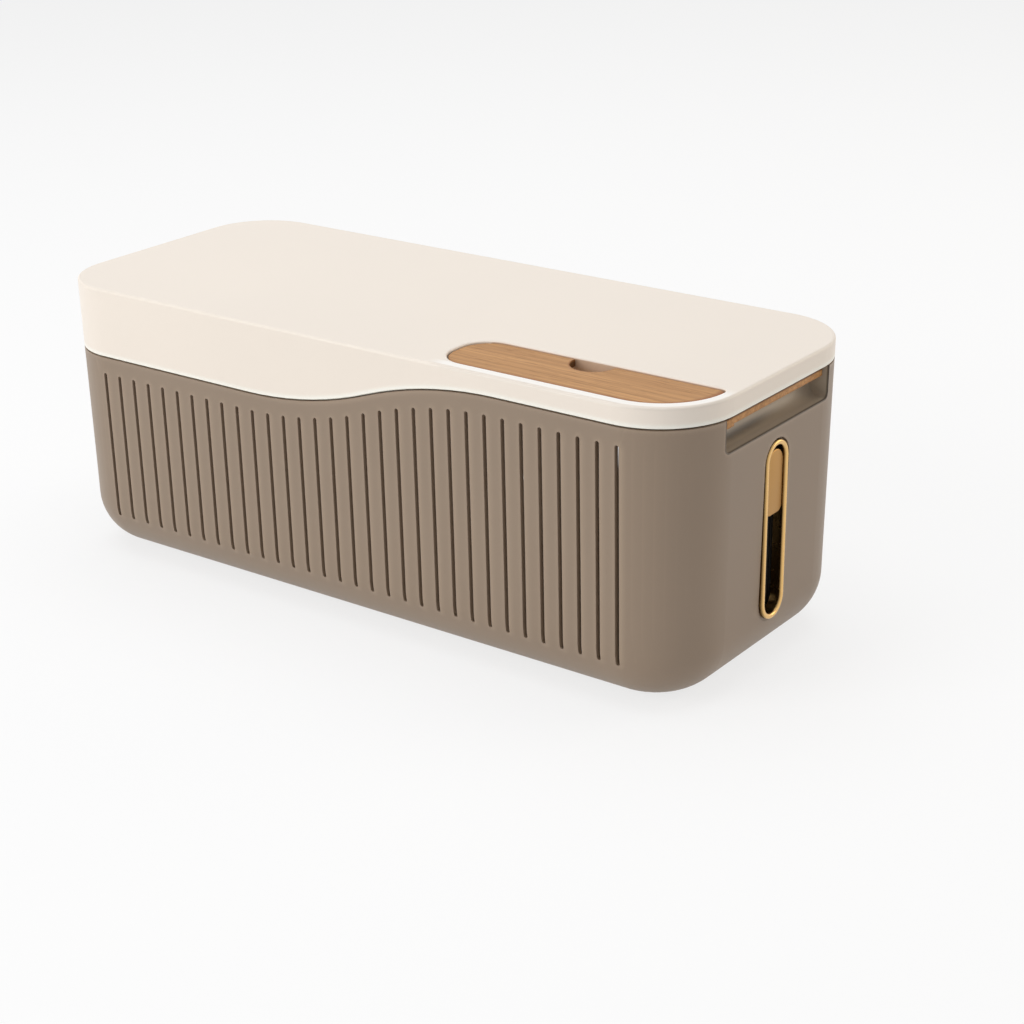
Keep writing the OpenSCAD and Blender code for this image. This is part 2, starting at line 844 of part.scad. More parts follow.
// The strip is carried by the rail behind its rebate
module grip_strip() {
    color(oak)
        difference() {
            translate([strip_x0, -strip_half, strip_bottom_z])
                cube([strip_d, 2 * strip_half, strip_h]);
            translate([strip_x1 - strip_rebate_d, -strip_half - weld, strip_top_z - strip_rebate_h])
                cube([strip_rebate_d + weld, 2 * (strip_half + weld), strip_rebate_h + weld]);
        }
}

module top_cover() {
    color(oak)
        difference() {
            slab(cover_bottom_z, cover_top_z)
                cover_plan(0);
            around_cover(0)
                edge_cut(-1, cover_top_z, cover_edge_r);
            translate([notch_cx, cover_y1 - notch_inset, cover_bottom_z - weld])
                cylinder(r = notch_r, h = cover_t + 2 * weld, $fn = arc_fn);
        }
}

bin();
foot(-1, -1);  // foot_front_left
foot(1, -1);  // foot_front_right
foot(-1, 1);  // foot_back_left
foot(1, 1);  // foot_back_right
slot_bezel(bezel_right_len);  // slot_bezel_right
shutter_guide(bezel_right_len);  // shutter_guide_right
guide_screws(bezel_right_len);  // guide_screws_right
shutter(bezel_right_len);  // shutter_right
shutter_carrier(bezel_right_len);  // shutter_carrier_right
mirror([1, 0, 0]) slot_bezel(bezel_left_len);  // slot_bezel_left
mirror([1, 0, 0]) shutter_guide(bezel_left_len);  // shutter_guide_left
mirror([1, 0, 0]) guide_screws(bezel_left_len);  // guide_screws_left
mirror([1, 0, 0]) shutter(bezel_left_len);  // shutter_left
mirror([1, 0, 0]) shutter_carrier(bezel_left_len);  // shutter_carrier_left
lid();
cover_tray();
tray_screws();
grip_strip();
top_cover();
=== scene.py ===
"""Dresses a packed cable management box: finishes, modelled trim, studio and camera.

Lengths are in metres, in the part's own frame: the origin lies under the middle of the box on
the surface it stands on, +X points to the end with the grip recess, -Y to the long side with
the top cover, and +Z up.
"""

from __future__ import annotations

import logging
import math
from collections.abc import Callable, Iterable
from dataclasses import dataclass
from enum import Enum

import bmesh
import bpy
from mathutils import Matrix, Vector


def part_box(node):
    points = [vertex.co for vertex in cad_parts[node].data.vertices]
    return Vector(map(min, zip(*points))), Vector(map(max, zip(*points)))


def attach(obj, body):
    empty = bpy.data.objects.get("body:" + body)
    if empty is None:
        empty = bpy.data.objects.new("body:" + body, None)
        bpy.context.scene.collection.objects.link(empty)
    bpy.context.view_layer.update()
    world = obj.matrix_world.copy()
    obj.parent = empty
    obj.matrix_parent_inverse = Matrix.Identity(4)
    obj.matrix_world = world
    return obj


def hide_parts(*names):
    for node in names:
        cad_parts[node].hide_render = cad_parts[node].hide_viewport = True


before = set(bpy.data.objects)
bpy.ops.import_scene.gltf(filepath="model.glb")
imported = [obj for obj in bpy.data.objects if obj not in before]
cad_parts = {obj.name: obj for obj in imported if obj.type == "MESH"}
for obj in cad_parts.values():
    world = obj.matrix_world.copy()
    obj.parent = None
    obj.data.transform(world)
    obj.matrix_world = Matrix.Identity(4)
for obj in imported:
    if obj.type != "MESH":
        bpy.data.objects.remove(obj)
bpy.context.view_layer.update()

LOG = logging.getLogger("cable_box")
MILLIMETRE = 0.001
MERGE_DISTANCE = 0.000002
TOLERANCE = 0.01 * MILLIMETRE
SMOOTH_ANGLE = math.radians(32)
EASE_SAMPLES = 4
NOISE_MEAN = 0.5

Span = tuple[float, float]
Triple = tuple[float, float, float]
Colour = Triple

WHITE: Colour = (1.0, 1.0, 1.0)
BLACK: Colour = (0.0, 0.0, 0.0)

# How far the surface turns where the painted highlight and painted shade on an edge begin, and
# where they are full.
EDGE_TILT: Span = (0.02, 0.25)


def srgb(red: float, green: float, blue: float) -> Colour:
    """Returns the linear colour of an sRGB colour given in steps of 0 to 255."""
    shares = (channel / 255 for channel in (red, green, blue))
    return tuple(s / 12.92 if s <= 0.04045 else ((s + 0.055) / 1.055) ** 2.4 for s in shares)


def scaled(colour: Colour, factor: float) -> Colour:
    """Returns a linear colour made lighter or darker by a factor."""
    return tuple(min(channel * factor, 1.0) for channel in colour)


# ---- Shader building ----


@dataclass(frozen=True)
class Wire:
    """A socket that works in Python expressions: each operator adds its Math node.

    Attributes:
        paint: The material's builder.
        socket: The output socket that the value comes from; none behind an output node.
    """

    paint: Paint
    socket: bpy.types.NodeSocket | None

    def _math(self, operation: str, *terms: Term) -> Wire:
        """Adds one Math node."""
        return self.paint.add("ShaderNodeMath", {"operation": operation}, dict(enumerate(terms)))

    def __add__(self, other: Term) -> Wire:
        """Sum."""
        return self._math("ADD", self, other)

    def __radd__(self, other: Term) -> Wire:
        """Reflected sum."""
        return self._math("ADD", other, self)

    def __sub__(self, other: Term) -> Wire:
        """Difference."""
        return self._math("SUBTRACT", self, other)

    def __rsub__(self, other: Term) -> Wire:
        """Reflected difference."""
        return self._math("SUBTRACT", other, self)

    def __mul__(self, other: Term) -> Wire:
        """Product."""
        return self._math("MULTIPLY", self, other)

    def __rmul__(self, other: Term) -> Wire:
        """Reflected product."""
        return self._math("MULTIPLY", other, self)

    def larger(self, other: Term) -> Wire:
        """The larger of two values."""
        return self._math("MAXIMUM", self, other)

    def absolute(self) -> Wire:
        """The value without its sign."""
        return self._math("ABSOLUTE", self)

    def diagonal(self, other: Wire) -> Wire:
        """Length of the diagonal over two sides, this value and another."""
        return self._math("SQRT", self * self + other * other)

    def ramp(self, low: float, high: float) -> Wire:
        """Maps low..high, in either order, to a smooth 0..1 that is held there beyond them."""
        settings = {"interpolation_type": "SMOOTHSTEP"}
        return self.paint.add(
            "ShaderNodeMapRange", settings, {"Value": self, "From Min": low, "From Max": high}
        )


Term = Wire | float


class Paint:
    """Builds the node tree of one material or of the world."""

    def __init__(self, owner: bpy.types.Material | bpy.types.World) -> None:
        """Empties the owner's node tree.

        Args:
            owner: The material or world to build.
        """
        owner.use_nodes = True
        self.tree = owner.node_tree
        self.tree.nodes.clear()

    def add(
        self,
        kind: str,
        settings: dict[str, object] | None = None,
        inputs: dict[str | int, object] | None = None,
        output: str | int = 0,
    ) -> Wire:
        """Adds one node.

        Args:
            kind: The node's type.
            settings: Its properties.
            inputs: Values or wires for its sockets, by name or number.
            output: The socket to return, by name or number.

        Returns:
            A wire from the chosen output.
        """
        node = self.tree.nodes.new(kind)
        for key, value in (settings or {}).items():
            setattr(node, key, value)
        for key, value in (inputs or {}).items():
            socket = node.inputs[key]
            if isinstance(value, Wire):
                self.tree.links.new(value.socket, socket)
            elif socket.type == "RGBA" and len(value) == 3:
                socket.default_value = (*value, 1.0)
            else:
                socket.default_value = value
        return Wire(self, node.outputs[output] if len(node.outputs) else None)

    def place(self, scale: Triple = (1, 1, 1), turn: Triple = (0, 0, 0)) -> Wire:
        """Object coordinates, turned; a scale below 1 draws the pattern out along its axis."""
        where = self.add("ShaderNodeTexCoord", output="Object")
        return self.add(
            "ShaderNodeMapping", None, {"Vector": where, "Rotation": turn, "Scale": scale}
        )

    def axis(self, letter: str) -> Wire:
        """The object coordinate along one axis, named by its letter."""
        where = self.add("ShaderNodeTexCoord", output="Object")
        return self.add("ShaderNodeSeparateXYZ", None, {"Vector": where}, letter)

    def noise(self, where: Wire, scale: float, detail: float = 2, distortion: float = 0) -> Wire:
        """Smooth noise around NOISE_MEAN, with a scale in cells per metre."""
        inputs = {"Vector": where, "Scale": scale, "Detail": detail, "Distortion": distortion}
        return self.add("ShaderNodeTexNoise", None, inputs)

    def blend(self, share: Term, first: Wire | Colour, second: Wire | Colour) -> Wire:
        """Mixes two colours: a share of 0 gives the first, and of 1 the second."""
        inputs = {0: share, 6: first, 7: second}
        return self.add("ShaderNodeMix", {"data_type": "RGBA"}, inputs, output=2)

    def eased(self, radius: float) -> Wire:
        """The surface's normal, rounded off over sharp edges to a radius."""
        return self.add("ShaderNodeBevel", {"samples": EASE_SAMPLES}, {"Radius": radius})

    def tilt(self, eased: Wire) -> Wire:
        """How far the surface's eased normal leaves the face: 0 on it, rising at sharp edges.

        Args:
            eased: The normal that eased() gave.

        Returns:
            The tilt, as 1 less the cosine.
        """
        face = self.add("ShaderNodeNewGeometry", output="True Normal")
        along = self.add(
            "ShaderNodeVectorMath", {"operation": "DOT_PRODUCT"}, {0: eased, 1: face}, "Value"
        )
        return 1 - along

    def lean(self, eased: Wire) -> Wire:
        """How far the surface's eased normal leans from the face towards -X at sharp edges.

        Args:
            eased: The normal that eased() gave.

        Returns:
            The lean.
        """
        face = self.add("ShaderNodeNewGeometry", output="True Normal")
        flat, turned = (
            self.add("ShaderNodeSeparateXYZ", None, {"Vector": normal}, "X")
            for normal in (face, eased)
        )
        return flat - turned

    def relief(self, height: Wire, depth: float, normal: Wire | None = None) -> Wire:
        """A bumped normal.

        Args:
            height: Height, from 0 to 1.
            depth: What a height of 1 stands for.
            normal: The normal that the bump starts from.

        Returns:
            The normal.
        """
        inputs = {"Height": height, "Distance": depth, "Strength": 1.0}
        if normal is not None:
            inputs["Normal"] = normal
        return self.add("ShaderNodeBump", None, inputs)

    def surface(self, **inputs: object) -> None:
        """Ends the tree in a Principled shader.

        Args:
            inputs: Its sockets, with underscores for spaces.
        """
        named = {key.replace("_", " "): value for key, value in inputs.items()}
        shader = self.add("ShaderNodeBsdfPrincipled", None, named)
        self.add("ShaderNodeOutputMaterial", None, {"Surface": shader})


# ---- Finishes ----


@dataclass(frozen=True)
class NoseLine:
    """The line along which the cover's front edge runs: straight, then round its nose.

    Attributes:
        bend_x: Middle of the bend, along X.
        bend_y: The same, along Y.
    """

    bend_x: float = 136 * MILLIMETRE
    bend_y: float = -35.5 * MILLIMETRE

    def reach(self, paint: Paint) -> Wire:
        """How far a place lies in front of the line.

        Args:
            paint: The material's builder.

        Returns:
            The distance, 0 behind the line.
        """
        aside = (paint.axis("X") - self.bend_x).larger(0.0)
        ahead = (self.bend_y - paint.axis("Y")).larger(0.0)
        return aside.diagonal(ahead)


@dataclass(frozen=True)
class MouldedPlastic:
    """Satin injection-moulded plastic with a fine spark-eroded grain.

    Attributes:
        name: The material's name.
        colour: Its linear colour.
        roughness: Its mean roughness.
        drift: How far the colour wanders over the surface, as a share.
        rub: How much lighter the sharp edges are painted, as a share: a painted highlight, which
            turns to painted shade below 0.
        edge_radius: Radius that the light sees on its sharp edges.
        wear_reach: How far from an edge the painted highlight reaches.
        cloud_scale: Cells per metre of the slow drift in colour and gloss.
        cloud_span: Noise between which that drift runs from none to full.
        cloud_share: Its share in the colour; the specks have the rest.
        cloud_gloss: How far it moves the roughness.
        speck_scale: Specks per metre.
        speck_gloss: How far the specks move the roughness.
        rub_gloss: How much smoother the sharp edges are.
        grain_scale: Grain cells per metre.
        grain_depth: Depth of the grain.
    """

    name: str
    colour: Colour
    roughness: float = 0.42
    drift: float = 0.03
    rub: float = 0.1
    edge_radius: float = 0.4 * MILLIMETRE
    wear_reach: float = 1 * MILLIMETRE
    cloud_scale: float = 9.0
    cloud_span: Span = (0.3, 0.7)
    cloud_share: float = 0.7
    cloud_gloss: float = 0.1
    speck_scale: float = 420.0
    speck_gloss: float = 0.05
    rub_gloss: float = 0.06
    grain_scale: float = 1600.0
    grain_depth: float = 0.012 * MILLIMETRE

    def make(self) -> bpy.types.Material:
        """Returns the material."""
        material = bpy.data.materials.new(self.name)
        paint = Paint(material)
        where = paint.place()
        cloud = paint.noise(where, self.cloud_scale, detail=3)
        speck = paint.noise(where, self.speck_scale)
        grain = paint.noise(where, self.grain_scale)
        eased = paint.eased(self.edge_radius)
        edge_light_normal = paint.eased(self.wear_reach)
        # Painted highlight: sharp edges get a lighter copy of the colour, as if light caught
        # them.
        edge_light_mask = paint.tilt(edge_light_normal).ramp(*EDGE_TILT)
        share = cloud.ramp(*self.cloud_span) * self.cloud_share + speck * (1 - self.cloud_share)
        colour = paint.blend(
            share, scaled(self.colour, 1 - self.drift), scaled(self.colour, 1 + self.drift)
        )
        colour = paint.blend(edge_light_mask, colour, scaled(self.colour, 1 + self.rub))
        wander = (cloud - NOISE_MEAN) * self.cloud_gloss + (speck - NOISE_MEAN) * self.speck_gloss
        paint.surface(
            Base_Color=self.accented(paint, colour, edge_light_normal),
            Roughness=self.roughness + wander - edge_light_mask * self.rub_gloss,
            Normal=paint.relief(grain, self.grain_depth, eased),
        )
        return material

    def accented(self, paint: Paint, colour: Wire, edge_light_normal: Wire) -> Wire:
        """The colour with what is special to one piece; plain here."""
        return colour


@dataclass(frozen=True)
class LidPlastic(MouldedPlastic):
    """The lid's plastic.

    A narrow band between the cover's pocket and the lid's edge is a painted highlight, the lid's
    rounded edge beside it is painted darker as painted shade, the skirt's lower edge carries a
    painted highlight, and the pocket's back wall takes on the cover's shade.

    Attributes:
        bead: Linear colour of the painted highlight band.
        nose: The line that the painted highlight band follows.
        bead_radius: How far in front of that line it begins.
        bead_width: Width of the painted highlight band.
        bead_start: Where the painted highlight band begins, along X.
        bead_stop: Where it ends, along Y.
        fade: Length over which it begins and ends.
        bead_floor: Height above which it shows.
        soft: Softness of its edges, and of the other bands' edges.
        crease: How much darker the lid's rounded edge is painted beside the highlight band, as a
            share: painted shade.
        hem: How much lighter the skirt's lower edge is painted, as a share: a painted highlight.
        hem_tilt: How far the surface turns where that painted highlight begins, and where it is
            palest.
        hem_ceiling: Height under which an edge is the skirt's lower edge.
        pocket: Linear colour of the back wall of the cover's pocket, in the cover's shade.
        pocket_left: Where that wall begins, along X.
        pocket_right: Where it ends.
        pocket_back: How far back it lies, along Y.
        pocket_deep: How thick the layer is that takes its colour.
        pocket_rim: Height of its upper edge.
    """

    bead: Colour = WHITE
    nose: NoseLine = NoseLine()
    bead_radius: float = 28.5 * MILLIMETRE
    bead_width: float = 4.2 * MILLIMETRE
    bead_start: float = 46 * MILLIMETRE
    bead_stop: float = -30 * MILLIMETRE
    fade: float = 10 * MILLIMETRE
    bead_floor: float = 128.6 * MILLIMETRE
    soft: float = 0.6 * MILLIMETRE
    crease: float = 0.07
    hem: float = 0.3
    hem_tilt: Span = (0.003, 0.014)
    hem_ceiling: float = 126 * MILLIMETRE
    pocket: Colour = BLACK
    pocket_left: float = 45 * MILLIMETRE
    pocket_right: float = 165 * MILLIMETRE
    pocket_back: float = -31 * MILLIMETRE
    pocket_deep: float = 2.5 * MILLIMETRE
    pocket_rim: float = 129.7 * MILLIMETRE

    def accented(self, paint: Paint, colour: Wire, edge_light_normal: Wire) -> Wire:
        """The colour with the painted highlight band, the painted shade beside it, the painted
        highlight on the lower edge and the pocket's shaded wall.

        Args:
            paint: The material's builder.
            colour: The plastic's own colour.
            edge_light_normal: The normal eased over the reach of the painted edge highlight,
                which shows the sharp edges.

        Returns:
            The final colour.
        """
        x, y, z = (paint.axis(letter) for letter in "XYZ")
        reach = self.nose.reach(paint)
        outside = self.bead_radius + self.bead_width
        beyond = reach.ramp(outside - self.soft, outside + self.soft)
        stretch = z.ramp(self.bead_floor, self.bead_floor + self.soft)
        stretch = stretch * x.ramp(self.bead_start, self.bead_start + self.fade)
        stretch = stretch * y.ramp(self.bead_stop, self.bead_stop - self.fade)
        # Painted shade: the lid's rounded edge beside the highlight band is darkened.
        colour = paint.blend(stretch * beyond, colour, scaled(self.colour, 1 - self.crease))
        # Painted highlight: a near-white band between the cover's pocket and the lid's edge.
        bead = reach.ramp(self.bead_radius, self.bead_radius + self.soft)
        bead = bead * (1 - beyond) * stretch
        # Painted highlight along the skirt's lower edge.
        hem = z.ramp(self.hem_ceiling, self.hem_ceiling - self.soft)
        hem = hem * paint.tilt(edge_light_normal).ramp(*self.hem_tilt)
        colour = paint.blend(hem, colour, scaled(self.colour, 1 + self.hem))
        shade = y.ramp(self.pocket_back, self.pocket_back - self.soft / 2)
        front = self.pocket_back - self.pocket_deep
        shade = shade * y.ramp(front, front + self.soft)
        shade = shade * z.ramp(self.pocket_rim, self.pocket_rim - self.soft)
        shade = shade * x.ramp(self.pocket_left, self.pocket_left + self.soft)
        shade = shade * x.ramp(self.pocket_right, self.pocket_right - self.soft)
        colour = paint.blend(shade, colour, self.pocket)
        return paint.blend(bead, colour, self.bead)


@dataclass(frozen=True)
class TrayPlastic(MouldedPlastic):
    """The cover tray's plastic: painted shade darkens the finger well towards its back wall.

    Attributes:
        dust: Linear colour of the painted shade.
        dust_from: Where the painted shade begins, along Y.
        dust_full: Where it is darkest.
    """

    dust: Colour = BLACK
    dust_from: float = -37 * MILLIMETRE
    dust_full: float = -33 * MILLIMETRE

    def accented(self, paint: Paint, colour: Wire, edge_light_normal: Wire) -> Wire:
        """The colour with the painted shade."""
        # Painted shade in the finger well, darkest towards its back wall.
        dust_and_shade_mask = paint.axis("Y").ramp(self.dust_from, self.dust_full)
        return paint.blend(dust_and_shade_mask, colour, self.dust)


@dataclass(frozen=True)
class BinPlastic(MouldedPlastic):
    """The bin's plastic.

    The slots' right edges carry a painted highlight, and the grip recess is painted lighter as
    painted light against the shade under the lid. Painted shade darkens the recess's hollow, and
    a painted shadow line runs round its mouth.

    Attributes:
        brush: How much lighter the slots' right edges are painted, as a share: a painted
            highlight.
        brush_lean: How far the surface leans where that painted highlight begins, and where it is
            palest.
        mouth_half: Half the width of the recess's mouth.
        sill: Height of the mouth's sill.
        corner: Radius of its corners.
        wall_x: How far out the mouth lies, at the inner edge of the line.
        dust: Linear colour of the painted shadow line.
        line: Width of the line.
        line_core: How much of that width keeps its full strength, as a share.
        line_share: That strength, as a share.
        handled: Linear colour of the recess, painted lighter as painted light.
        back_x: How far out the recess's back wall lies.
        grime: Linear colour of the painted shade in the hollow between its back wall and sill.
        grime_x: How far out that is darkest.
        grime_back: How far it reaches towards the back wall.
        grime_front: How far it reaches towards the mouth.
        grime_end: Where it ends, along Y.
        grime_fade: Length over which it ends.
    """

    brush: float = 0.35
    brush_lean: Span = (0.02, 0.2)
    mouth_half: float = 40.5 * MILLIMETRE
    sill: float = 107 * MILLIMETRE
    corner: float = 2.5 * MILLIMETRE
    wall_x: float = 168.2 * MILLIMETRE
    dust: Colour = BLACK
    line: float = 0.7 * MILLIMETRE
    line_core: float = 0.4
    line_share: float = 0.7
    handled: Colour = BLACK
    back_x: float = 157.5 * MILLIMETRE
    grime: Colour = BLACK
    grime_x: float = 161.3 * MILLIMETRE
    grime_back: float = 1.2 * MILLIMETRE
    grime_front: float = 3.4 * MILLIMETRE
    grime_end: float = 22 * MILLIMETRE
    grime_fade: float = 34 * MILLIMETRE

    def accented(self, paint: Paint, colour: Wire, edge_light_normal: Wire) -> Wire:
        """The colour with the painted highlight on the slots, the recess's painted light and
        painted shade, and the painted shadow line round its mouth.

        Args:
            paint: The material's builder.
            colour: The plastic's own colour.
            edge_light_normal: The normal eased over the reach of the painted edge highlight,
                which shows the sharp edges.

        Returns:
            The final colour.
        """
        x, y, z = (paint.axis(letter) for letter in "XYZ")
        aside = (y.absolute() - (self.mouth_half - self.corner)).larger(0.0)
        below = (self.sill + self.corner - z).larger(0.0)
        reach = aside.diagonal(below) - self.corner
        # Painted shadow: a dark line round the recess's mouth.
        line = reach.absolute().ramp(self.line, self.line * self.line_core)
        line = line * x.ramp(self.wall_x, self.wall_x + self.line)
        inside = reach.ramp(self.line, 0.0) * x.ramp(self.back_x, self.back_x + self.line)
        inside = inside * x.ramp(self.wall_x + 2 * self.line, self.wall_x + self.line)
        # Painted highlight on the slots' right edges.
        slot_highlight_mask = paint.lean(edge_light_normal).ramp(*self.brush_lean)
        colour = paint.blend(slot_highlight_mask, colour, scaled(self.colour, 1 + self.brush))
        # Painted shade in the hollow between the recess's back wall and sill.
        grime = x.ramp(self.grime_x - self.grime_back, self.grime_x)
        grime = grime * x.ramp(self.grime_x + self.grime_front, self.grime_x)
        grime = grime * y.ramp(self.grime_end, self.grime_end - self.grime_fade)
        # Painted light and shade in the recess: lighter overall, darker in the hollow.
        colour = paint.blend(inside, colour, paint.blend(grime, self.handled, self.grime))
        return paint.blend(line * self.line_share, colour, self.dust)


class Grain(Enum):
    """The axis that a board's grain runs along, with the turn that lays the pattern there."""

    ALONG_X = (0.0, 0.0, 0.0)
    ALONG_Y = (0.0, 0.0, math.pi / 2)


@dataclass(frozen=True)
class OakFoil:
    """Printed oak foil under a thin satin lacquer.

    Attributes:
        name: The material's name.
        pale: Linear colour of the pale early wood.
        dark: Linear colour of the dark late wood.
        pore: Linear colour of the open pores.
        edge: Linear colour of the edges: painted shade in a redder brown.
        grain: The way the grain runs.
        roughness: Its mean roughness.
        specular: Strength of its reflections.
        edge_radius: Radius that the light sees on its edges.
        cut_reach: How far from an edge the painted shade reaches.
        band_stretch: How far the bands are drawn out along the grain, as a factor below 1.
        band_scale: Bands per metre across the grain.
        band_stir: How far the bands are stirred.
        fibre_stretch: How far the fibres are drawn out.
        fibre_scale: Fibres per metre across the grain.
        fibre_gloss: How far the fibres move the roughness.
        tone_span: Noise between which bands and fibres run from dark to pale.
        tone_share: The bands' share in the tone; the fibres have the rest.
        pore_stretch: How far the pores are drawn out.
        pore_scale: Pore cells per metre across the grain.
        pore_span: Noise between which a pore runs from shut to open.
        pore_share: How strongly open pores show.
        pore_gloss: How much rougher they are.
        pore_cut: How deep they are, as a share of the relief.
        relief: Depth of the fibres' relief.
    """

    name: str
    pale: Colour
    dark: Colour
    pore: Colour
    edge: Colour
    grain: Grain = Grain.ALONG_X
    roughness: float = 0.46
    specular: float = 0.2
    edge_radius: float = 0.6 * MILLIMETRE
    cut_reach: float = 1.8 * MILLIMETRE
    band_stretch: float = 0.03
    band_scale: float = 300.0
    band_stir: float = 0.4
    fibre_stretch: float = 0.012
    fibre_scale: float = 850.0
    fibre_gloss: float = 0.14
    tone_span: Span = (0.34, 0.66)
    tone_share: float = 0.5
    pore_stretch: float = 0.05
    pore_scale: float = 2200.0
    pore_span: Span = (0.62, 0.72)
    pore_share: float = 0.6
    pore_gloss: float = 0.1
    pore_cut: float = 0.6
    relief: float = 0.02 * MILLIMETRE

    def make(self) -> bpy.types.Material:
        """Returns the material."""
        material = bpy.data.materials.new(self.name)
        paint = Paint(material)
        board, strand, dash = (
            paint.place((stretch, 1.0, 1.0), self.grain.value)
            for stretch in (self.band_stretch, self.fibre_stretch, self.pore_stretch)
        )
        bands = paint.noise(board, self.band_scale, detail=4, distortion=self.band_stir)
        fibres = paint.noise(strand, self.fibre_scale, detail=4)
        pores = paint.noise(dash, self.pore_scale, detail=1).ramp(*self.pore_span)
        tone = bands.ramp(*self.tone_span) * self.tone_share
        tone = tone + fibres.ramp(*self.tone_span) * (1 - self.tone_share)
        colour = paint.blend(tone, self.dark, self.pale)
        colour = paint.blend(pores * self.pore_share, colour, self.pore)
        eased = paint.eased(self.edge_radius)
        # Painted shade along the edges: they turn to the darker edge colour.
        cut = paint.tilt(paint.eased(self.cut_reach)).ramp(*EDGE_TILT)
        wander = (fibres - NOISE_MEAN) * self.fibre_gloss + pores * self.pore_gloss
        paint.surface(
            Base_Color=self.accented(paint, paint.blend(cut, colour, self.edge)),
            Roughness=self.roughness + wander,
            Specular_IOR_Level=self.specular,
            Normal=paint.relief(fibres - pores * self.pore_cut, self.relief, eased),
        )
        return material

    def accented(self, paint: Paint, colour: Wire) -> Wire:
        """The colour with what is special to one piece; plain here."""
        return colour


@dataclass(frozen=True)
class StripFoil(OakFoil):
    """The grip strip's foil: its top lies in the dark of the lid's edge.

    Attributes:
        dark_from: Height at which the dark begins.
        dark_fade: Height over which it deepens.
        dark_tone: Its brightness, as a share of the pores'.
    """

    dark_from: float = 118.5 * MILLIMETRE
    dark_fade: float = 1 * MILLIMETRE
    dark_tone: float = 0.5

    def accented(self, paint: Paint, colour: Wire) -> Wire:
        """The colour with the dark top."""
        dark = paint.axis("Z").ramp(self.dark_from, self.dark_from + self.dark_fade)
        return paint.blend(dark, colour, scaled(self.pore, self.dark_tone))


@dataclass(frozen=True)
class CoverFoil(OakFoil):
    """The top cover's foil: painted shade in a band along its front edge and down its sides.

    Attributes:
        nose: The line that the front edge follows.
        edge_reach: How far in front of that line the edge lies.
        edge_width: Width of its band of painted shade.
        edge_share: How strongly that band shows.
        side_from: Height under which the sides darken with painted shade.
        side_fade: Height over which they do.
        side_share: How strongly they do.
        side_tone: Their brightness then, as a share of the pores'.
    """

    nose: NoseLine = NoseLine()
    edge_reach: float = 27.4 * MILLIMETRE
    edge_width: float = 2.6 * MILLIMETRE
    edge_share: float = 0.9
    side_from: float = 129.2 * MILLIMETRE
    side_fade: float = 0.9 * MILLIMETRE
    side_share: float = 0.8
    side_tone: float = 0.4

    def accented(self, paint: Paint, colour: Wire) -> Wire:
        """The colour with the painted shade along the front edge and down the sides.

        Args:
            paint: The material's builder.
            colour: The foil's own colour.

        Returns:
            The final colour.
        """
        # Painted shade along the front edge and down the sides.
        front_shade = self.nose.reach(paint).ramp(self.edge_reach - self.edge_width, self.edge_reach)
        side = paint.axis("Z").ramp(self.side_from, self.side_from - self.side_fade)
        colour = paint.blend(front_shade * self.edge_share, colour, self.edge)
        return paint.blend(side * self.side_share, colour, scaled(self.pore, self.side_tone))


@dataclass(frozen=True)
class PlatedMetal:
    """Thin plating over a moulded or pressed part.

    Attributes:
        name: The material's name.
        colour: Linear colour of the plating.
        roughness: Its mean roughness.
        hairline: How strongly fine lines along Z show, from 0 to 1.
        flank: Brightness of the faces that turn away from X, as a share: painted shade for the
            darker reflections there.
        flank_turn: How squarely a face looks along X where that painted shade begins, and where
            it is full.
        haze_scale: Cells per metre of the haze.
        line_scale: Lines per metre.
        line_stretch: How far they are drawn out, as a factor below 1.
        swing: How far the colour wanders, as a share.
        gloss: How far the roughness wanders.
        relief: Depth of haze and lines.
    """

    name: str
    colour: Colour
    roughness: float
    hairline: float = 0.0
    flank: float = 1.0
    flank_turn: Span = (0.95, 0.3)
    haze_scale: float = 260.0
    line_scale: float = 5200.0
    line_stretch: float = 0.02
    swing: float = 0.08
    gloss: float = 0.16
    relief: float = 0.006 * MILLIMETRE

    def make(self) -> bpy.types.Material:
        """Returns the material."""
        material = bpy.data.materials.new(self.name)
        paint = Paint(material)
        haze = paint.noise(paint.place(), self.haze_scale, detail=3)
        lines = paint.noise(paint.place((1.0, 1.0, self.line_stretch)), self.line_scale)
        tone = haze * (1 - self.hairline) + lines * self.hairline
        colour = paint.blend(
            tone, scaled(self.colour, 1 - self.swing), scaled(self.colour, 1 + self.swing)
        )
        # Painted shade: faces turned away from X get a darker copy of the plating's colour.
        facing = paint.add("ShaderNodeTexCoord", output="Normal")
        ahead = paint.add("ShaderNodeSeparateXYZ", None, {"Vector": facing}, "X")
        turned = ahead.absolute().ramp(*self.flank_turn)
        colour = paint.blend(turned, colour, scaled(self.colour, self.flank))
        paint.surface(
            Base_Color=colour,
            Metallic=1.0,
            Roughness=self.roughness + (tone - NOISE_MEAN) * self.gloss,
            Normal=paint.relief(tone, self.relief),
        )
        return material


